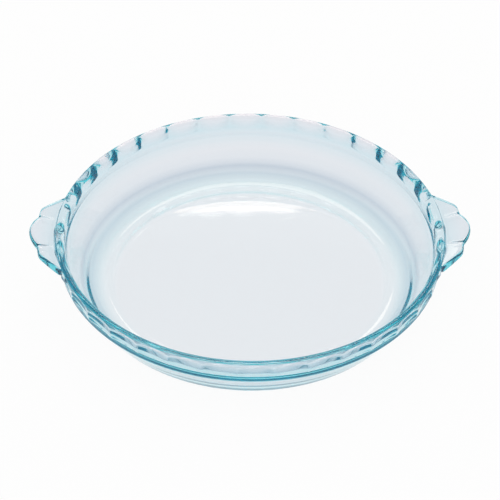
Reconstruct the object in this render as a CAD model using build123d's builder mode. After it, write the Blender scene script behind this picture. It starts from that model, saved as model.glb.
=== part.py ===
"""Round glass pie dish with a fluted rim band and two lobed handles.

The whole dish is one piece of pressed glass. It stands on a low foot ring, a flared wall rises
from it to a shoulder, and an upright band above the shoulder carries the flutes and the rim.
The handles are lugs of three lobes that grow out of the band just below the rim and rise outwards.
The origin is at the centre of the foot, on the surface that the dish stands on, with +Z up
and the handles along X.
"""

from build123d import *
from math import atan2, cos, degrees, radians, sin, sqrt, tan
import os

# Overall sizes
rim_diameter = 230.0
rim_height = 39.0
handle_overhang = 15.0

# Glass thickness
rim_width = 4.7
wall_thickness = 4.7
base_thickness = 4.6

# Base and foot ring
wall_flare = 16.6
base_corner_radius = 8.0
floor_corner_radius = 20.0
foot_ring_width = 13.1
foot_ring_rise = 0.6
foot_ring_slope = 3.2

# Rim band: a plain bead above the shoulder, then the upright part with the flutes
band_height = 15.0
band_inset = 2.3
bead_height = 4.2
bead_setback = 0.1
ridge_foot_height = 1.2
band_inner_inset = 2.25
shoulder_radius = 2.0
inner_shoulder_radius = 14.0
rim_outer_bevel = 0.6
rim_inner_rounding = 1.8

# Flutes round the band
flute_count = 36
flute_depth = 1.8
flute_nick = 0.5
flute_head_height = 5.0

# Handles
handle_drop = 0.5
handle_rise = 3.0
handle_edge = 3.2
handle_root = 5.6
handle_root_angle = 19.6
side_lobe_setback = 4.2
side_lobe_angle = 9.8
side_lobe_corner = 6.0
centre_lobe_radius = 20.0
lobe_notch_radius = 3.0
handle_end_fillet = 15.0
handle_top_bevel = 0.9

# Creases between the lobes
crease_width = 1.4
crease_depth = 0.5
crease_offset = 2.6

cut_overrun = 1.0

# Heights and reaches of the outer side
rim_radius = rim_diameter / 2
shoulder_height = rim_height - band_height
shoulder_reach = rim_radius - band_inset
base_radius = shoulder_reach - wall_flare
foot_ring_radius = base_radius - foot_ring_width
bead_top = shoulder_height + bead_height
bead_reach = rim_radius - flute_depth - bead_setback
ridge_foot = bead_top + ridge_foot_height

# Inner side: the flared wall at its thickness meets the inside of the band at the inner shoulder
lip_radius = rim_radius - rim_width
wall_slope = wall_flare / shoulder_height
inner_base_radius = base_radius - wall_thickness * sqrt(1 + wall_slope**2)
inner_band_slope = band_inner_inset / band_height
lip_projection = lip_radius - inner_band_slope * rim_height
inner_shoulder_height = (lip_projection - inner_base_radius) / (wall_slope - inner_band_slope)
inner_shoulder_reach = inner_base_radius + wall_slope * inner_shoulder_height
floor_reach = inner_base_radius + wall_slope * base_thickness

# Flutes: hollows whose sides meet in sharp upright ridges at the rim radius
half_pitch = radians(180 / flute_count)
ridge_depth = flute_depth - rim_radius * (1 - cos(half_pitch))
flute_radius = ((rim_radius * sin(half_pitch)) ** 2 + ridge_depth**2) / (2 * ridge_depth)
flute_axis = rim_radius - flute_depth + flute_radius
flute_head = rim_height - flute_head_height

# Handles
handle_top = rim_height - handle_drop
handle_underside = handle_top - handle_root
handle_reach = rim_radius + handle_overhang
handle_inside = rim_radius - rim_width / 2
side_lobe_reach = handle_reach - side_lobe_setback
centre_lobe_axis = handle_reach - centre_lobe_radius
notch_x = (side_lobe_reach**2 + centre_lobe_axis**2 - centre_lobe_radius**2) / (2 * centre_lobe_axis)
notch_angle = degrees(atan2(sqrt(side_lobe_reach**2 - notch_x**2), notch_x))
handle_slope = handle_rise / handle_overhang
underside_slope = (handle_root + handle_rise - handle_edge) / handle_overhang
handle_section_start = handle_inside - cut_overrun
handle_span = handle_reach + cut_overrun
handle_wedge = handle_span * tan(radians(handle_root_angle) + cut_overrun / rim_radius)

with BuildPart() as dish:
    # Body of glass: one closed section turned about the upright axis
    with BuildSketch(Plane.XZ) as section:
        with BuildLine():
            Polyline(
                (0, foot_ring_rise),
                (foot_ring_radius - foot_ring_slope, foot_ring_rise),
                (foot_ring_radius, 0),
                (base_radius, 0),
                (shoulder_reach, shoulder_height),
                (bead_reach, bead_top),
                (rim_radius, ridge_foot),
                (rim_radius, rim_height),
                (lip_radius, rim_height),
                (inner_shoulder_reach, inner_shoulder_height),
                (floor_reach, base_thickness),
                (0, base_thickness),
                close=True,
            )
        make_face()
        rounded_corners = (
            (base_radius, 0, base_corner_radius),
            (shoulder_reach, shoulder_height, shoulder_radius),
            (lip_radius, rim_height, rim_inner_rounding),
            (inner_shoulder_reach, inner_shoulder_height, inner_shoulder_radius),
            (floor_reach, base_thickness, floor_corner_radius),
        )
        for reach, height, radius in rounded_corners:
            fillet(section.vertices().sort_by_distance((reach, height))[0], radius)
        rim_corner = section.vertices().sort_by_distance((rim_radius, rim_height))[0]
        chamfer(rim_corner, rim_outer_bevel)
    revolve(axis=Axis.Z)

    # Outline of one handle: a wide lobe between two side lobes, rounded into the rim
    with BuildSketch(mode=Mode.PRIVATE) as outline:
        with BuildLine():
            side_reach = CenterArc((0, 0), side_lobe_reach, -side_lobe_angle, 2 * side_lobe_angle)
            root_corner = Vector(handle_inside, 0)
            Polyline(
                side_reach @ 0,
                root_corner.rotate(Axis.Z, -handle_root_angle),
                (0, 0),
                root_corner.rotate(Axis.Z, handle_root_angle),
                side_reach @ 1,
            )
        make_face()
        fillet(outline.vertices().sort_by_distance((0, 0))[-2:], side_lobe_corner)
        with Locations((centre_lobe_axis, 0)):
            Circle(centre_lobe_radius)
        fillet(outline.vertices().group_by(Axis.X)[-1], lobe_notch_radius)
        Circle(rim_radius - flute_nick)
        root_corners = outline.vertices().filter_by(lambda v: v.X > 0).group_by(Axis.X)[0]
        fillet(root_corners, handle_end_fillet)
        Circle(handle_inside, mode=Mode.SUBTRACT)
        with BuildLine():
            Polyline((0, 0), (handle_span, -handle_wedge), (handle_span, handle_wedge), close=True)
        make_face(mode=Mode.INTERSECT)

    # Handle: its top rises outwards, and its underside drops from its edge to its root
    with BuildPart(mode=Mode.PRIVATE) as handle:
        with BuildSketch(Plane.XY.offset(handle_underside)):
            add(outline.sketch)
        extrude(amount=handle_root + handle_rise + cut_overrun)
        with BuildSketch(Plane.XZ):
            with BuildLine():
                Polyline(
                    (handle_section_start, handle_top - handle_slope * (rim_radius - handle_section_start)),
                    (handle_span, handle_top + handle_slope * (handle_span - rim_radius)),
                    (handle_span, handle_underside + underside_slope * (handle_span - rim_radius)),
                    (rim_radius, handle_underside),
                    (handle_section_start, handle_underside),
                    close=True,
                )
            make_face()
        revolve(axis=Axis.Z, mode=Mode.INTERSECT)
        upper_corner = Vector(rim_radius, 0, handle_top)
        top_edges = handle.faces().sort_by(Axis.Z)[-1].edges()
        chamfer(top_edges.filter_by(lambda e: (e @ 0.5).length > upper_corner.length), handle_top_bevel)

        # Creases between the lobes, along the slope of the top
        for side in (-1, 1):
            crease_way = Vector(handle_overhang, 0, handle_rise).rotate(Axis.Z, side * notch_angle)
            crease_start = upper_corner.rotate(Axis.Z, side * notch_angle)
            crease_section = Plane(
                origin=crease_start + crease_way * (crease_offset / handle_overhang),
                x_dir=Vector(0, 1, 0).rotate(Axis.Z, side * notch_angle),
                z_dir=crease_way,
            )
            with BuildSketch(crease_section):
                with BuildLine():
                    Polyline(
                        (-crease_width / 2, 0),
                        (0, -crease_depth),
                        (crease_width / 2, 0),
                        close=True,
                    )
                make_face()
            extrude(amount=handle_overhang - crease_offset, mode=Mode.SUBTRACT)

    for half_turn in (0, 180):
        add(handle.part, rotation=(0, 0, half_turn))

    # Flute: an upright round hollow with a round head
    with BuildPart(mode=Mode.PRIVATE) as flute:
        with BuildSketch(Plane.XZ.shift_origin((flute_axis, 0, 0))):
            with BuildLine():
                head = TangentArc(
                    (flute_radius, flute_head),
                    (flute_radius - flute_depth + flute_nick, rim_height),
                    tangent=(0, 1),
                )
                Polyline(
                    head @ 1,
                    ((head @ 1).X, rim_height + cut_overrun),
                    (0, rim_height + cut_overrun),
                    (0, bead_top),
                    (flute_radius, bead_top),
                    head @ 0,
                )
            make_face()
        revolve(axis=Axis((flute_axis, 0, 0), (0, 0, 1)))

    # Plain glass that the flutes leave standing behind each handle
    with BuildPart(mode=Mode.PRIVATE) as handle_backing:
        with BuildSketch(Plane.XY.offset(handle_underside)):
            add(outline.sketch)
        extrude(amount=handle_root + handle_drop + cut_overrun)

    for turn in range(flute_count):
        with BuildPart(mode=Mode.PRIVATE) as cutter:
            add(flute.part, rotation=(0, 0, 360 * turn / flute_count))
            for half_turn in (0, 180):
                add(handle_backing.part, rotation=(0, 0, half_turn), mode=Mode.SUBTRACT)
        add(cutter.part, mode=Mode.SUBTRACT)

dish.part.label = "dish"
os.makedirs("parts", exist_ok=True)
export_step(dish.part, "parts/dish.step")
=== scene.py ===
"""Finished look of a round pie dish in clear pressed glass, with a fluted rim and two lobed handles."""

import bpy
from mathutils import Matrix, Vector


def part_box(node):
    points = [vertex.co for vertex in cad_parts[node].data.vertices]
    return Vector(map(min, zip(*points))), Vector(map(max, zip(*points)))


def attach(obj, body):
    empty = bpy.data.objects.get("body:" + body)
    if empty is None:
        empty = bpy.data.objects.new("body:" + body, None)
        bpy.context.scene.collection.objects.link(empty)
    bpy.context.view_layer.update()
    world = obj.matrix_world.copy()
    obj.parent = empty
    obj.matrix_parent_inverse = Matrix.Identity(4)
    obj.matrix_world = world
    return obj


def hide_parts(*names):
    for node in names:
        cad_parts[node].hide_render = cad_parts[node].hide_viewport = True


bl_info = {
    "name": "Glass pie dish",
    "version": (1, 0, 0),
    "blender": (4, 5, 0),
    "location": "View3D > Sidebar > Pie dish",
    "description": "Builds a fluted glass pie dish with lobed handles on a pale studio floor",
    "category": "Object",
}

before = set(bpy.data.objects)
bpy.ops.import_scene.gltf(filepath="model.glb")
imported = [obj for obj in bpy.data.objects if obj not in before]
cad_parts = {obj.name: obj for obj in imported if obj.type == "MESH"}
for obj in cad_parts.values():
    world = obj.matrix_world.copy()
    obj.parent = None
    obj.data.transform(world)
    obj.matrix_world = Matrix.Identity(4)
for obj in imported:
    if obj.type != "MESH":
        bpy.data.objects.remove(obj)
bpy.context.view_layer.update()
DISH_LOW, DISH_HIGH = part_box("dish")

import math

import bpy
import numpy as np
from bpy.props import FloatProperty, FloatVectorProperty, IntProperty, PointerProperty
from mathutils import Matrix, Vector


def length(name, description, default):
    """A length property in metres."""
    return FloatProperty(name=name, description=description, default=default, unit="LENGTH", precision=5)


def angle(name, description, degrees):
    """An angle property whose default is given in degrees."""
    return FloatProperty(name=name, description=description, default=math.radians(degrees), subtype="ANGLE")


def amount(name, description, default):
    """A plain number property."""
    return FloatProperty(name=name, description=description, default=default, precision=4)


def colour(name, description, default):
    """A colour property."""
    return FloatVectorProperty(name=name, description=description, default=default, subtype="COLOR", size=3)


class DishSizes(bpy.types.PropertyGroup):
    """Sizes of the dish, its rim band, flutes and handles."""

    height: length("Rim height", "Foot to rim", 0.039)
    handle_reach: length("Handle reach", "Centre of the dish to the tip of a handle", DISH_HIGH.x)
    rim_radius: length("Rim radius", "Outside radius of the rim", 0.1148)
    rim_width: length("Rim width", "Thickness of the rim at its top", 0.0045)
    rim_outer_rounding: length("Outer rim rounding", "Rounding of the rim's outer edge", 0.0008)
    rim_inner_rounding: length("Inner rim rounding", "Rounding of the rim's inner edge", 0.0034)
    wall_thickness: length("Wall thickness", "Glass of the flared wall", 0.0047)
    base_thickness: length("Base thickness", "Glass of the floor", 0.0046)
    wall_flare: length("Wall flare", "How far the wall leans out from foot to shoulder", 0.0166)
    base_corner: length("Base corner", "Rounding outside between base and wall", 0.008)
    floor_corner: length("Floor corner", "Rounding inside between floor and wall", 0.020)
    foot_width: length("Foot ring width", "Flat ring that the dish stands on", 0.0131)
    foot_rise: length("Foot rise", "How far the underside rises inside the foot ring", 0.0006)
    foot_slope: length("Foot slope", "Width of the slope inside the foot ring", 0.0032)
    band_height: length("Band height", "Height of the rim band", 0.015)
    band_inset: length("Band inset", "How far the shoulder stands in from the rim", 0.0021)
    band_inner_inset: length("Inner band inset", "How far the inside of the band draws in", 0.00225)
    shoulder_rounding: length("Shoulder rounding", "Rounding outside under the band", 0.002)
    inner_shoulder: length("Inner shoulder", "Rounding inside under the band", 0.014)
    flute_count: IntProperty(name="Flutes", description="Flutes round the band", default=36)
    flute_depth: length("Flute depth", "Depth of a flute at its middle", 0.0018)
    flute_nick: length(
        "Flute nick", "Depth of a flute at the rim top, below zero where its head ends under it", -0.0012
    )
    ridge_rounding: length("Ridge rounding", "Half width of the rounding of a ridge between flutes", 0.0015)
    flute_head: length("Flute head", "Height of the round head of a flute", 0.0048)
    bead_height: length("Bead height", "Plain bead between shoulder and flutes", 0.0042)
    ridge_foot: length("Ridge foot", "Height of the sloping foot of the ridges between flutes", 0.0012)
    handle_drop: length("Handle drop", "How far the handles start under the rim", 0.0005)
    handle_rise: length("Handle rise", "How far a handle's top rises on its way out", 0.003)
    handle_edge: length("Handle edge", "Thickness of a handle at its tip", 0.0032)
    handle_root: length("Handle root", "Thickness of a handle where it leaves the rim", 0.0056)
    handle_end: angle("Handle end", "Angle at which a handle's end line reaches into the rim", 19.6)
    side_lobe_setback: length("Side lobe setback", "How far the side lobes stay behind the middle", 0.0042)
    side_lobe_angle: angle("Side lobe angle", "Angle of the outer corner of a side lobe", 9.8)
    side_lobe_corner: length("Side lobe corner", "Rounding of the outer corner of a side lobe", 0.006)
    centre_lobe: length("Middle lobe", "Radius of the middle lobe", 0.020)
    handle_end_fillet: length("Handle end fillet", "Rounding where a handle runs into the rim", 0.015)
    handle_top_rounding: length("Handle top rounding", "Rounding of the handle's upper edge", 0.0013)
    handle_low_rounding: length("Handle lower rounding", "Rounding of the handle's lower edge", 0.0016)
    crease_depth: length("Crease depth", "Depth of the creases between the lobes", 0.0006)
    crease_width: length("Crease width", "Half width of the creases", 0.0007)


class GlassLook(bpy.types.PropertyGroup):
    """Colours and finish of the glass."""

    surface_tint: colour("Surface tint", "Colour of the light that passes a surface", (1.0, 0.89, 0.92))
    depth_tint: colour("Depth tint", "Colour that long ways through the glass take", (0.0, 0.863, 0.905))
    depth_density: amount("Depth density", "How fast the glass takes that colour, per metre", 38.0)
    tint_top: length("Tint top", "Height up to which the tint changes", 0.042)
    ior: amount("Refraction", "Index of refraction", 1.474)
    roughness: amount("Roughness", "Roughness of the fire-polished surface", 0.004)
    ripple: length("Ripple", "Height of the faint ripple of pressed glass", 0.00003)


class StudioLook(bpy.types.PropertyGroup):
    """Floor, backdrop, lamps and camera."""

    floor_colour: colour("Floor colour", "Colour of the floor", (0.93, 0.93, 0.93))
    floor_size: length("Floor size", "Half the side of the floor", 4.0)
    floor_gap: length("Floor gap", "Air between the foot of the dish and the floor", 0.0002)
    floor_shadow: amount("Floor shadow", "Share of the floor that lamps and shadow shade", 0.06)
    low_light: amount("Low light", "Strength of the surround near the horizon", 1.0)
    high_light: amount("High light", "Strength of the surround overhead", 0.7)
    light_edge: angle("Light edge", "Height above the horizon where the bright surround ends", 39.8)
    lamp_colour: colour("Lamp colour", "Colour of the softboxes", (1.0, 0.86, 0.72))
    camera_distance: length("Camera distance", "Camera to the aim point", 1.4)
    camera_height: angle("Camera height", "Angle of the camera above the horizon", 40.45)
    camera_turn: angle("Camera turn", "Angle of the camera round the dish", 2.1)
    camera_roll: angle("Camera roll", "Roll of the camera", 0.9)
    aim_height: length("Aim height", "Height of the aim point over the floor", 0.0242)
    lens: FloatProperty(name="Lens", description="Focal length in millimetres", default=169.8)
    light_bounces: IntProperty(
        name="Light bounces", description="Most bounces of light in the glass", default=128
    )


def smooth_step(value):
    """Rises from 0 to 1 as the value goes from 0 to 1, level at both ends: 3 t squared less 2 t cubed."""
    t = np.clip(value, 0.0, 1.0)
    return t * t * (3.0 - 2.0 * t)


# Most of a straight run that the arc at one of its ends may take up
RUN_SHARE = 0.49


def corner_arc(before, corner, after, radius, steps):
    """Points of the arc that rounds a corner, one more than its steps.

    The arc touches both straight runs at the radius times the tangent of half the turn from the corner, and
    a weighted mean of its two touching points and the corner follows the true circle between them.
    Corners may be single points or arrays with one point per column.
    """
    into = corner - before
    out = after - corner
    into_length = np.linalg.norm(into, axis=-1, keepdims=True)
    out_length = np.linalg.norm(out, axis=-1, keepdims=True)
    into = into / into_length
    out = out / out_length
    cosine = np.clip((into * out).sum(-1, keepdims=True), -0.999999, 0.999999)
    half_turn = np.arccos(cosine) / 2.0
    touch = np.minimum(radius * np.tan(half_turn), RUN_SHARE * np.minimum(into_length, out_length))
    start = corner - into * touch
    end = corner + out * touch
    q = np.linspace(0.0, 1.0, steps + 1).reshape((-1,) + (1,) * corner.ndim)
    w = np.cos(half_turn)
    top = (1 - q) ** 2 * start + 2 * q * (1 - q) * w * corner + q**2 * end
    return top / ((1 - q) ** 2 + 2 * q * (1 - q) * w + q**2)


def between(start, end, shares):
    """Points on the straight run from start to end, at the given shares of its length."""
    share = np.asarray(shares, float).reshape((-1,) + (1,) * start.ndim)
    return start + (end - start) * share


def even(count):
    """Even shares of a run, from the first step to its end."""
    return np.arange(1, count + 1) / count


class DishForm:
    """The dish's surface as rows of points.

    The rows run from the middle of the underside, round the rim, to the middle of the floor.
    """

    # Columns of a plain flute and of one beside a handle, and how those crowd towards the handle's notches
    COARSE, FINE, CROWD = 16, 32, 1.4
    # How strongly the columns of a plain flute gather at its ridges
    GATHER = 0.11
    # Rows up a flute, up its head, and from there to the rim's top
    FLUTE_ROWS, HEAD_ROWS, TOP_ROWS = 6, 15, 12
    # Halvings of the search for the line where a flute's head leaves the rim
    HALVINGS = 30
    # Share of the side lobe's angle at which the way into its corner is taken
    CORNER_LEAD = 0.7
    # Angle in radians past a handle's end at which the way along the rim is taken
    ROOT_LEAD = 0.08
    # Width over which the outlines of two lobes pass into each other
    LOBE_BLEND = 0.0006
    # Multiple of the notch's angle up to which the middle lobe is drawn
    MIDDLE_LOBE_END = 1.6
    # Overhang over which the rim band passes into a handle, and the share of the rim's rounding lost there
    ROOT_BLEND, ROOT_SHARPENING = 0.0022, 0.3
    # Gap between the band's rows and a handle's underside
    UNDER_GAP = 0.0007
    # Angle in radians over which the flutes fade out behind a handle
    FADE_ANGLE = 0.012
    # Height over which the flutes end at a handle's underside, and how far above it that starts
    FADE_HEIGHT, FADE_START = 0.0004, 0.0001
    # Least overhang and least step in at the rim, which keep a handle's rows apart where it ends
    LEAST_OVERHANG, LEAST_STEP = 0.0005, 0.0004
    # Rounding where a handle's underside meets the band, and the length of band that gives its direction
    UNDER_ROUNDING, UNDER_RUN = 0.0005, 0.001
    # How far inside the rim's radius a handle's top and the rim above it start
    TOP_INSET, RIM_INSET = 0.0001, 0.00035
    # Where the creases start outside the rim, the width over which they deepen, and their reach down the edge
    CREASE_START, CREASE_RUN, CREASE_FALL = 0.0018, 0.002, 0.0014
    # How steeply a crease's sides fall
    CREASE_POWER = 1.5
    # Least share of a ridge's foot that a column climbs before its flute starts
    LEAST_FOOT = 0.12
    # Range of the rim path in which a flute's head may end
    ARCH_LOW, ARCH_HIGH = 0.08, 0.97
    # Rounding of both ends of the slope inside the foot ring
    RECESS_ROUNDING = 0.014

    def __init__(self, s):
        self.s = s
        self.shoulder_height = s.height - s.band_height
        self.shoulder_reach = s.rim_radius - s.band_inset
        self.knee = s.height - s.flute_head
        self.bead_top = self.shoulder_height + s.bead_height
        self.ridge_start = self.bead_top + s.ridge_foot
        self.base_radius = self.shoulder_reach - s.wall_flare
        self.handle_top = s.height - s.handle_drop
        self.handle_underside = self.handle_top - s.handle_root
        self.half_pitch = math.pi / s.flute_count
        ridge_depth = s.flute_depth - s.rim_radius * (1 - math.cos(self.half_pitch))
        half_chord = s.rim_radius * math.sin(self.half_pitch)
        self.flute_radius = (half_chord**2 + ridge_depth**2) / (2 * ridge_depth)
        self.flute_axis = s.rim_radius - s.flute_depth + self.flute_radius
        fall = s.flute_depth - s.flute_nick
        self.head_radius = (s.flute_head**2 + fall**2) / (2 * fall)
        self.angles = self.column_angles()
        self.handle_angle = np.abs((self.angles + math.pi / 2) % math.pi - math.pi / 2)
        pitch = 2 * self.half_pitch
        self.flute_angle = self.rounded(np.abs((self.angles + self.half_pitch) % pitch - self.half_pitch))
        self.reach, self.notch = self.handle_outline()

    def column_angles(self):
        """Angles of the columns, flute by flute from ridge to ridge.

        They are closer at the handles, and closest beside the handles' notches.
        """
        s = self.s
        pitch = 2 * math.pi / s.flute_count
        parts = []
        for flute in range(s.flute_count):
            centre = flute * pitch
            side = (centre + math.pi / 2) % math.pi - math.pi / 2
            near = abs(side) < s.handle_end + pitch / 2
            count = self.FINE if near else self.COARSE
            share = np.arange(count) / count
            if not near:
                share = share - self.GATHER * np.sin(2 * math.pi * share)
            if near and side > pitch / 2:
                share = share**self.CROWD
            if near and side < -pitch / 2:
                share = 1 - (1 - share) ** self.CROWD
            parts.append(centre - pitch / 2 + pitch * share)
        return np.concatenate(parts)

    def rounded(self, side):
        """Angle off the middle of a flute, held back near the ridge, where the flutes meet in a rounding."""
        near = self.s.ridge_rounding / self.s.rim_radius
        straight = self.half_pitch - near
        t = np.clip((side - straight) / near, 0.0, 1.0)
        return np.minimum(side, straight) + near * (t - t * t / 2)

    def handle_outline(self):
        """Reach of the handle's outline at each column, and the angle of the notch between the lobes.

        The middle lobe is a circle seen from the dish's centre: its reach is the distance of its axis times
        the cosine of the angle to it, plus the root of its radius squared less its offset squared. A side
        lobe is an arc round the dish's centre, a rounded corner, a slanting end line and a long rounding
        into the rim.
        """
        s = self.s
        h = self.handle_angle
        side_reach = s.handle_reach - s.side_lobe_setback
        axis = s.handle_reach - s.centre_lobe
        notch_x = (side_reach**2 + axis**2 - s.centre_lobe**2) / (2 * axis)
        notch = math.acos(notch_x / side_reach)

        def polar(reach, turn):
            return np.array((reach * math.cos(turn), reach * math.sin(turn)))

        corner = polar(side_reach, s.side_lobe_angle)
        way = polar(s.rim_radius - s.rim_width / 2, s.handle_end) - corner
        way /= np.linalg.norm(way)
        inwards = corner @ way
        root = corner + way * (-inwards - math.sqrt(inwards**2 - side_reach**2 + s.rim_radius**2))
        root_angle = math.atan2(root[1], root[0])
        before_corner = polar(side_reach, self.CORNER_LEAD * s.side_lobe_angle)
        beyond_root = polar(s.rim_radius, root_angle + self.ROOT_LEAD)
        points = np.concatenate(
            [
                [polar(side_reach, 0.0)],
                corner_arc(before_corner, corner, root, s.side_lobe_corner, 12),
                corner_arc(corner, root, beyond_root, s.handle_end_fillet, 16),
            ]
        )
        turns = np.arctan2(points[:, 1], points[:, 0])
        side = np.interp(h, turns, np.hypot(points[:, 0], points[:, 1]))
        side = np.where(h < turns[1], side_reach, side)
        middle = axis * np.cos(h) + np.sqrt(np.maximum(s.centre_lobe**2 - (axis * np.sin(h)) ** 2, 0.0))
        middle = np.where(h < self.MIDDLE_LOBE_END * notch, middle, 0.0)
        reach = (middle + side + np.sqrt((middle - side) ** 2 + self.LOBE_BLEND**2)) / 2
        reach = np.where(h < turns[-1], reach, s.rim_radius)
        return np.clip(reach, s.rim_radius, s.handle_reach), notch

    def band(self, height):
        """Outer radius of the band without its flutes: an upright bead, then a slope out to the ridges."""
        s = self.s
        floor = s.rim_radius - s.flute_depth
        return np.interp(
            height,
            (self.shoulder_height, self.bead_top, self.ridge_start),
            (self.shoulder_reach, floor, s.rim_radius),
        )

    def cutter(self, height):
        """Radius of a flute's round cutter at each height: upright, then drawn in along the head's arc."""
        rise = np.clip(height - self.knee, 0.0, self.head_radius)
        return self.flute_radius - self.head_radius + np.sqrt(self.head_radius**2 - rise**2)

    def flute(self, height):
        """Radius of the flutes' surface: the near side of the cutter's circle, from the dish's centre."""
        a = self.flute_angle
        side = self.cutter(height) ** 2 - (self.flute_axis * np.sin(a)) ** 2
        return self.flute_axis * np.cos(a) - np.sqrt(np.maximum(side, 0.0))

    def foot_line(self):
        """Height at which each column leaves the sloping foot of the ridges for its flute."""
        s = self.s
        share = 1 - (s.rim_radius - self.flute(self.ridge_start)) / s.flute_depth
        return self.bead_top + s.ridge_foot * np.clip(share, self.LEAST_FOOT, 1.0)

    def rim_path(self, along, rounding):
        """Outer side above the knee, by the way along it: straight up, then a quarter circle to the top."""
        s = self.s
        straight = s.flute_head - rounding
        turn = np.clip((along - straight) / rounding, 0.0, math.pi / 2)
        reach = s.rim_radius - rounding * (1 - np.cos(turn))
        height = self.knee + np.minimum(along, straight) + rounding * np.sin(turn)
        return reach, height

    def arch_line(self, rounding, end):
        """Way along the rim path at which each column leaves the head of its flute, found by halving."""
        low = np.zeros_like(self.angles)
        high = end + low
        for _ in range(self.HALVINGS):
            middle = (low + high) / 2
            reach, height = self.rim_path(middle, rounding)
            cut = self.flute(height) < reach
            low = np.where(cut, middle, low)
            high = np.where(cut, high, middle)
        return np.clip(high, self.ARCH_LOW * end, self.ARCH_HIGH * end)

    def bead_rows(self):
        """Rows of the plain bead, from the shoulder to the foot of the ridges."""
        start = np.full_like(self.angles, self.shoulder_height + self.s.shoulder_rounding / 5)
        end = np.full_like(self.angles, self.bead_top)
        heights = between(start, end, (0.1, 0.5, 0.9, 1.0))
        return np.stack([self.band(heights), heights], -1)

    def upper_rows(self, first):
        """Rows from the foot of the ridges to the rim's top: one path for the band, one for the handles."""
        s = self.s
        extent = smooth_step((self.reach - s.rim_radius) / self.ROOT_BLEND)
        rounding = s.rim_outer_rounding * (1 - self.ROOT_SHARPENING * extent)
        end = s.flute_head - rounding + rounding * math.pi / 2
        arch = self.arch_line(rounding, end)
        foot = self.foot_line()
        low_end = self.knee + (self.handle_underside - self.UNDER_GAP - self.knee) * extent
        low = np.concatenate(
            [between(first[:, 1], foot, (0.4, 0.8, 1.0)), between(foot, low_end, even(self.FLUTE_ROWS))]
        )
        along = np.concatenate(
            [
                between(np.zeros_like(arch), arch, even(self.HEAD_ROWS)),
                between(arch, end, even(self.TOP_ROWS)),
            ]
        )
        reach, height = self.rim_path(along, rounding)
        low_rows = np.stack([self.backed(self.band(low), low), low], -1)
        band_rows = np.stack([self.backed(reach, height), height], -1)
        handle_rows = self.handle_rows(low_rows[-1], rounding)
        return np.concatenate([low_rows, band_rows + (handle_rows - band_rows) * extent[:, None]])

    def backed(self, plain, height):
        """Reach of the fluted band, left plain where a handle backs it above its underside."""
        s = self.s
        behind = smooth_step((s.handle_end + self.FADE_ANGLE - self.handle_angle) / self.FADE_ANGLE)
        over = height - self.handle_underside - self.FADE_START
        behind = behind * smooth_step(over / self.FADE_HEIGHT)
        fluted = np.minimum(plain, self.flute(height))
        return fluted + (plain - fluted) * behind

    def handle_rows(self, first, rounding):
        """One section of the handle per column: under it, round its edge, over its top and up to the rim."""
        s = self.s
        over = np.maximum(self.reach - s.rim_radius, self.LEAST_OVERHANG)
        overhang = s.handle_reach - s.rim_radius
        rise = s.handle_rise / overhang
        slope = (s.handle_root + s.handle_rise - s.handle_edge) / overhang
        full = np.ones_like(over)

        def point(reach, height):
            return np.stack([reach * full, height * full], -1)

        wall = np.minimum(first[:, 0], s.rim_radius - self.LEAST_STEP)
        below = point(wall, self.handle_underside - self.UNDER_RUN)
        inside = point(wall, self.handle_underside)
        root = point(s.rim_radius, self.handle_underside)
        low = point(s.rim_radius + over, self.handle_underside + slope * over)
        high = point(s.rim_radius + over, self.handle_top + rise * over)
        inner = point(s.rim_radius - self.TOP_INSET, self.handle_top)
        rim = point(s.rim_radius - self.RIM_INSET, s.height)
        rim_in = point(s.rim_radius - s.rim_width / 2, s.height)
        arcs = [
            corner_arc(below, inside, root, self.UNDER_ROUNDING, 2),
            corner_arc(root, low, high, s.handle_low_rounding, 5),
            corner_arc(low, high, inner, s.handle_top_rounding, 5),
            corner_arc(inner, rim, rim_in, rounding[:, None], 3),
        ]
        rows = np.concatenate(
            [
                arcs[0],
                root[None],
                between(root, arcs[1][0], (0.33, 0.67)),
                arcs[1],
                between(arcs[1][-1], arcs[2][0], (0.5,)),
                arcs[2],
                between(arcs[2][-1], inner, (0.2, 0.5, 0.8)),
                inner[None],
                arcs[3],
            ]
        )
        reach, height = rows[..., 0], rows[..., 1]
        aside = reach * np.sin(self.handle_angle - self.notch)
        groove = np.exp(-np.abs(aside / s.crease_width) ** self.CREASE_POWER)
        groove = groove * smooth_step((reach - s.rim_radius - self.CREASE_START) / self.CREASE_RUN)
        top = self.handle_top + rise * (reach - s.rim_radius)
        groove = groove * smooth_step((height - top + self.CREASE_FALL) / self.CREASE_FALL)
        return np.stack([reach, height - s.crease_depth * groove], -1)

    def rows(self):
        """All rows of the surface, each row holding the reach and height of every column."""
        s = self.s
        columns = len(self.angles)
        wall_slope = s.wall_flare / self.shoulder_height
        inner_base = self.base_radius - s.wall_thickness * math.sqrt(1 + wall_slope**2)
        inner_slope = s.band_inner_inset / s.band_height
        lip = s.rim_radius - s.rim_width
        inner_height = (lip - inner_slope * s.height - inner_base) / (wall_slope - inner_slope)
        inner_reach = inner_base + wall_slope * inner_height
        foot_radius = self.base_radius - s.foot_width

        def chain(points):
            return [np.array(p, float) for p in points]

        under, recess, foot, base, shoulder, band_point = chain(
            [
                (0.0, s.foot_rise),
                (foot_radius - s.foot_slope, s.foot_rise),
                (foot_radius, 0.0),
                (self.base_radius, 0.0),
                (self.shoulder_reach, self.shoulder_height),
                (s.rim_radius - s.flute_depth, self.bead_top),
            ]
        )
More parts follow.
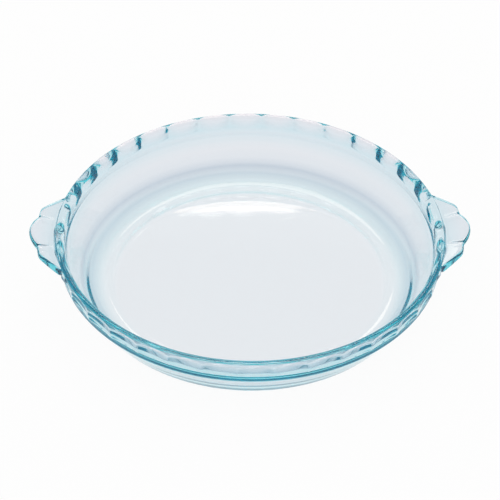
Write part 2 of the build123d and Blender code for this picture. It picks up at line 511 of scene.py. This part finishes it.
        # The run over the rim's top starts outside the rim, which leaves room for the wide inner rounding
        beyond_rim, rim_lip, inner_corner, floor_corner, floor = chain(
            [
                (s.rim_radius + s.rim_width, s.height),
                (lip, s.height),
                (inner_reach, inner_height),
                (inner_base + wall_slope * s.base_thickness, s.base_thickness),
                (0.0, s.base_thickness),
            ]
        )
        recess_arc = corner_arc(under, recess, foot, self.RECESS_ROUNDING, 4)
        foot_arc = corner_arc(recess, foot, base, self.RECESS_ROUNDING, 4)
        base_arc = corner_arc(foot, base, shoulder, s.base_corner, 9)
        shoulder_arc = corner_arc(base, shoulder, band_point, s.shoulder_rounding, 4)
        outside = np.concatenate(
            [
                between(under, recess_arc[0], (0.2, 0.7, 0.98)),
                recess_arc,
                foot_arc,
                between(foot_arc[-1], base_arc[0], (0.5,)),
                base_arc,
                between(base_arc[-1], shoulder_arc[0], (0.06, 0.5, 0.94)),
                shoulder_arc,
            ]
        )
        lip_arc = corner_arc(beyond_rim, rim_lip, inner_corner, s.rim_inner_rounding, 8)
        inner_arc = corner_arc(rim_lip, inner_corner, floor_corner, s.inner_shoulder, 10)
        floor_arc = corner_arc(inner_corner, floor_corner, floor, s.floor_corner, 16)
        inside = np.concatenate(
            [
                lip_arc,
                between(lip_arc[-1], inner_arc[0], (0.15, 0.85)),
                inner_arc,
                between(inner_arc[-1], floor_arc[0], (0.15, 0.85)),
                floor_arc,
                between(floor_arc[-1], floor, (0.03, 0.3, 0.75)),
            ]
        )

        def all_columns(points):
            return np.repeat(points[:, None, :], columns, axis=1)

        bead = self.bead_rows()
        upper = self.upper_rows(bead[-1])
        return np.concatenate([all_columns(outside), bead, upper, all_columns(inside)])


def closed_shell(name, rows, angles, low_pole, high_pole):
    """Mesh of a closed form of rows turned round the upright axis.

    Row i and column j give the point (reach cos angle, reach sin angle, height). Quads join neighbouring
    rows and columns, and a fan of triangles closes each end on the axis.
    """
    count, columns = rows.shape[:2]
    reach, height = rows[..., 0], rows[..., 1]
    points = np.stack([reach * np.cos(angles), reach * np.sin(angles), height], -1).reshape(-1, 3)
    points = np.concatenate([points, [(0.0, 0.0, low_pole), (0.0, 0.0, high_pole)]])
    index = np.arange(count * columns).reshape(count, columns)
    turned = np.roll(index, -1, axis=1)
    quads = np.stack([index[:-1], turned[:-1], turned[1:], index[1:]], -1).reshape(-1, 4)
    low, high = count * columns, count * columns + 1
    low_fan = np.stack([np.full(columns, low), turned[0], index[0]], -1)
    high_fan = np.stack([np.full(columns, high), index[-1], turned[-1]], -1)
    corners = np.concatenate([quads.ravel(), low_fan.ravel(), high_fan.ravel()])
    sizes = np.concatenate([np.full(len(quads), 4), np.full(2 * columns, 3)])
    starts = np.concatenate([[0], np.cumsum(sizes)[:-1]])

    mesh = bpy.data.meshes.new(name)
    mesh.vertices.add(len(points))
    mesh.vertices.foreach_set("co", points.astype(np.float32).ravel())
    mesh.loops.add(len(corners))
    mesh.loops.foreach_set("vertex_index", corners.astype(np.int32))
    mesh.polygons.add(len(sizes))
    mesh.polygons.foreach_set("loop_start", starts.astype(np.int32))
    mesh.polygons.foreach_set("use_smooth", np.ones(len(sizes), bool))
    mesh.update(calc_edges=True)
    mesh.validate()
    return mesh


class Shade:
    """A shader socket that takes part in Python sums: each operation adds one Math node."""

    def __init__(self, board, socket):
        self.board = board
        self.socket = socket

    def _math(self, operation, first, second):
        return self.board.node("ShaderNodeMath", {"operation": operation}, {0: first, 1: second})

    def __add__(self, other):
        return self._math("ADD", self, other)

    def __radd__(self, other):
        return self._math("ADD", other, self)

    def __mul__(self, other):
        return self._math("MULTIPLY", self, other)

    def __rmul__(self, other):
        return self._math("MULTIPLY", other, self)

    def most(self, other):
        """The larger of the two."""
        return self._math("MAXIMUM", self, other)


class Board:
    """A node tree being filled in."""

    def __init__(self, tree):
        self.tree = tree
        tree.nodes.clear()

    def node(self, kind, settings=None, inputs=None, output=0):
        """Adds a node of this type: its settings first, then the values or links of its sockets."""
        made = self.tree.nodes.new(kind)
        for key, value in (settings or {}).items():
            if key == "stops":
                ramp = made.color_ramp
                while len(ramp.elements) < len(value):
                    ramp.elements.new(0.5)
                for element, (place, tint) in zip(ramp.elements, value):
                    element.position = place
                    element.color = tint
            else:
                setattr(made, key, value)
        for key, value in (inputs or {}).items():
            if isinstance(value, Shade):
                self.tree.links.new(value.socket, made.inputs[key])
            else:
                made.inputs[key].default_value = value
        if len(made.outputs) == 0:
            return made
        return Shade(self, made.outputs[output])


def new_material(name):
    """An empty node material and the board to fill it."""
    material = bpy.data.materials.new(name)
    material.use_nodes = True
    return material, Board(material.node_tree)


# Share of the surface tint that is kept at each height in metres: full on the floor; greyer and bluer on the
# wall, darkest near its foot, as painted shade for the dish's shadow on the floor seen through the glass;
# bluer in the thick shoulder and in the flutes, where the glass is teal
LEVEL_TINTS_AND_PAINTED_SHADE = (
    (0.0, (1.0, 1.0, 1.0)),
    (0.0049, (1.0, 1.0, 1.0)),
    (0.0078, (0.60, 0.67, 0.75)),
    (0.0125, (0.90, 0.91, 0.93)),
    (0.020, (0.95, 0.94, 0.95)),
    (0.024, (0.86, 0.92, 0.94)),
    (0.0272, (0.90, 0.93, 0.95)),
    (0.030, (0.80, 0.91, 0.94)),
    (0.033, (0.82, 0.91, 0.94)),
    (0.0365, (0.88, 0.92, 0.94)),
    (0.042, (0.90, 0.92, 0.94)),
)


# Features to the metre of the glass's ripple, of the finer grain on it and of the floor's paper
RIPPLE_SCALE, GRAIN_SCALE, PAPER_SCALE = 45.0, 600.0, 900.0
# Height of the grain as a share of the ripple's
GRAIN_SHARE = 0.06


def clear_glass(look):
    """Clear pressed glass: fire-polished, faintly rippled, teal where light goes a long way, painted shade on
    its wall.
    """
    material, board = new_material("clear_glass")
    place = board.node("ShaderNodeTexCoord", output="Object")
    height = board.node("ShaderNodeSeparateXYZ", {}, {0: place}, output="Z")
    stops = [
        (level / look.tint_top, (*np.multiply(look.surface_tint, share), 1.0)) for level, share in LEVEL_TINTS_AND_PAINTED_SHADE
    ]
    # Base colour by height: teal in the thick glass, and painted shade on the wall for the shadow under the
    # dish
    tint = board.node("ShaderNodeValToRGB", {"stops": stops}, {"Fac": height * (1.0 / look.tint_top)})
    ripple = board.node("ShaderNodeTexNoise", {}, {"Vector": place, "Scale": RIPPLE_SCALE, "Detail": 1.5})
    grain = board.node("ShaderNodeTexNoise", {}, {"Vector": place, "Scale": GRAIN_SCALE, "Detail": 2.0})
    bump = board.node(
        "ShaderNodeBump",
        {},
        {"Strength": 1.0, "Distance": look.ripple, "Height": ripple + GRAIN_SHARE * grain},
    )
    polish = look.roughness * 0.5 + look.roughness * ripple
    surface = board.node(
        "ShaderNodeBsdfPrincipled",
        {},
        {
            "Base Color": tint,
            "Roughness": polish,
            "IOR": look.ior,
            "Transmission Weight": 1.0,
            "Normal": bump,
        },
    )
    depth = board.node(
        "ShaderNodeVolumeAbsorption", {}, {"Color": (*look.depth_tint, 1.0), "Density": look.depth_density}
    )
    board.node("ShaderNodeOutputMaterial", {}, {"Surface": surface, "Volume": depth})
    return material


def light_path(board):
    """One for what the camera sees, straight or through glass or in a reflection."""
    camera = board.node("ShaderNodeLightPath", output="Is Camera Ray")
    glossy = board.node("ShaderNodeLightPath", output="Is Glossy Ray")
    passed = board.node("ShaderNodeLightPath", output="Is Transmission Ray")
    return camera.most(glossy).most(passed)


def studio_floor(look):
    """Pale floor: plain white to the camera and in glass, with part of the lamps' shading kept on it."""
    material, board = new_material("studio_floor")
    place = board.node("ShaderNodeTexCoord", output="Object")
    paper = board.node("ShaderNodeTexNoise", {}, {"Vector": place, "Scale": PAPER_SCALE, "Detail": 3.0})
    bump = board.node("ShaderNodeBump", {}, {"Strength": 0.1, "Distance": 0.0001, "Height": paper})
    shaded = board.node(
        "ShaderNodeBsdfDiffuse", {}, {"Color": (*look.floor_colour, 1.0), "Normal": bump}
    )
    white = board.node("ShaderNodeEmission", {}, {"Color": (1.0, 1.0, 1.0, 1.0), "Strength": 1.0})
    seen = light_path(board)
    mixed = board.node(
        "ShaderNodeMixShader", {}, {"Fac": seen * (1.0 - look.floor_shadow), 1: shaded, 2: white}
    )
    board.node("ShaderNodeOutputMaterial", {}, {"Surface": mixed})
    return material


def link_piece(name, mesh):
    """Adds an object at the origin for this mesh."""
    piece = bpy.data.objects.new(name, mesh)
    bpy.context.scene.collection.objects.link(piece)
    return piece


class PIEDISH_OT_glass(bpy.types.Operator):
    """Build the glass dish with its fluted band and handles"""

    bl_idname = "piedish.glass"
    bl_label = "Glass dish"

    def execute(self, context):
        form = DishForm(context.scene.dish_sizes)
        rows = form.rows()
        mesh = closed_shell("glass_dish", rows, form.angles, form.s.foot_rise, form.s.base_thickness)
        piece = link_piece("glass_dish", mesh)
        mesh.materials.append(clear_glass(context.scene.glass_look))
        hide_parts("dish")
        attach(piece, "root")
        return {"FINISHED"}


# Name, place, size and watts of each softbox, all aimed at the dish
SOFTBOXES = (
    ("window_softbox", (0.0, 1.58, 1.13), (0.30, 0.2), 0.55),
    ("overhead_softbox", (0.0, 0.86, 1.23), (0.34, 0.5), 1.3),
)
# Half the width of the step from the bright surround to the dim one, in the sine of the height
SURROUND_BLEND = 0.01


class PIEDISH_OT_stage(bpy.types.Operator):
    """Build the studio floor, the surround, the lamps and the camera"""

    bl_idname = "piedish.stage"
    bl_label = "Studio"

    def execute(self, context):
        look = context.scene.studio_look
        self.floor(look)
        self.surround(context, look)
        self.lamps(look)
        self.camera(context, look)
        for kind in ("max_bounces", "glossy_bounces", "transmission_bounces"):
            setattr(context.scene.cycles, kind, look.light_bounces)
        return {"FINISHED"}

    def floor(self, look):
        """Square floor just under the foot ring."""
        half = look.floor_size
        level = DISH_LOW.z - look.floor_gap
        mesh = bpy.data.meshes.new("floor")
        corners = [(-half, -half, level), (half, -half, level), (half, half, level), (-half, half, level)]
        mesh.from_pydata(corners, [], [(0, 1, 2, 3)])
        mesh.materials.append(studio_floor(look))
        link_piece("floor", mesh)

    def surround(self, context, look):
        """World light by the height of its direction: bright near the horizon, dim overhead."""
        world = bpy.data.worlds.new("surround")
        world.use_nodes = True
        context.scene.world = world
        board = Board(world.node_tree)
        direction = board.node("ShaderNodeTexCoord", output="Generated")
        height = board.node("ShaderNodeSeparateXYZ", {}, {0: direction}, output="Z")
        edge = math.sin(look.light_edge)
        low, high = (look.low_light,) * 3 + (1.0,), (look.high_light,) * 3 + (1.0,)
        stops = [(edge - SURROUND_BLEND, low), (edge + SURROUND_BLEND, high)]
        tint = board.node("ShaderNodeValToRGB", {"stops": stops}, {"Fac": height})
        light = board.node("ShaderNodeBackground", {}, {"Color": tint, "Strength": 1.0})
        white = board.node("ShaderNodeBackground", {}, {"Color": (1.0, 1.0, 1.0, 1.0), "Strength": 1.0})
        camera = board.node("ShaderNodeLightPath", output="Is Camera Ray")
        mixed = board.node("ShaderNodeMixShader", {}, {"Fac": camera, 1: light, 2: white})
        board.node("ShaderNodeOutputWorld", {}, {"Surface": mixed})

    def lamps(self, look):
        """Softboxes that give the bright zone at the back of the floor."""
        for name, place, size, power in SOFTBOXES:
            lamp = bpy.data.lights.new(name, "AREA")
            lamp.shape = "RECTANGLE"
            lamp.size, lamp.size_y = size
            lamp.energy = power
            lamp.color = look.lamp_colour
            thing = bpy.data.objects.new(name, lamp)
            thing.location = place
            thing.rotation_euler = (-Vector(place)).to_track_quat("-Z", "Y").to_euler()
            bpy.context.scene.collection.objects.link(thing)

    def camera(self, context, look):
        """Camera at the photograph's angle, aimed at the middle of the dish."""
        data = bpy.data.cameras.new("camera")
        data.lens = look.lens
        data.clip_end = 50.0
        camera = bpy.data.objects.new("camera", data)
        aim = Vector((0.0, 0.0, look.aim_height))
        level, rise = math.cos(look.camera_height), math.sin(look.camera_height)
        away = Vector((-math.sin(look.camera_turn) * level, -math.cos(look.camera_turn) * level, rise))
        turn = (-away).to_track_quat("-Z", "Y").to_matrix().to_4x4()
        roll = Matrix.Rotation(look.camera_roll, 4, "Z")
        camera.matrix_world = Matrix.Translation(aim + away * look.camera_distance) @ turn @ roll
        context.scene.collection.objects.link(camera)
        context.scene.camera = camera
        context.scene.view_settings.view_transform = "Standard"


class PIEDISH_PT_panel(bpy.types.Panel):
    """Sizes, colours and building steps of the pie dish"""

    bl_idname = "PIEDISH_PT_panel"
    bl_label = "Pie dish"
    bl_space_type = "VIEW_3D"
    bl_region_type = "UI"
    bl_category = "Pie dish"

    def draw(self, context):
        for step in STEPS:
            self.layout.operator(step.bl_idname)
        for group in ("dish_sizes", "glass_look", "studio_look"):
            box = self.layout.box()
            values = getattr(context.scene, group)
            for name in values.__annotations__:
                box.prop(values, name)


STEPS = (PIEDISH_OT_glass, PIEDISH_OT_stage)
GROUPS = {"dish_sizes": DishSizes, "glass_look": GlassLook, "studio_look": StudioLook}


def register():
    for group in GROUPS.values():
        bpy.utils.register_class(group)
    for step in (*STEPS, PIEDISH_PT_panel):
        bpy.utils.register_class(step)
    for name, group in GROUPS.items():
        setattr(bpy.types.Scene, name, PointerProperty(type=group))


def unregister():
    for name in GROUPS:
        delattr(bpy.types.Scene, name)
    for step in (PIEDISH_PT_panel, *STEPS, *GROUPS.values()):
        bpy.utils.unregister_class(step)


def main():
    """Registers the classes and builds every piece."""
    register()
    bpy.ops.piedish.glass()
    bpy.ops.piedish.stage()


if __name__ == "__main__":
    main()
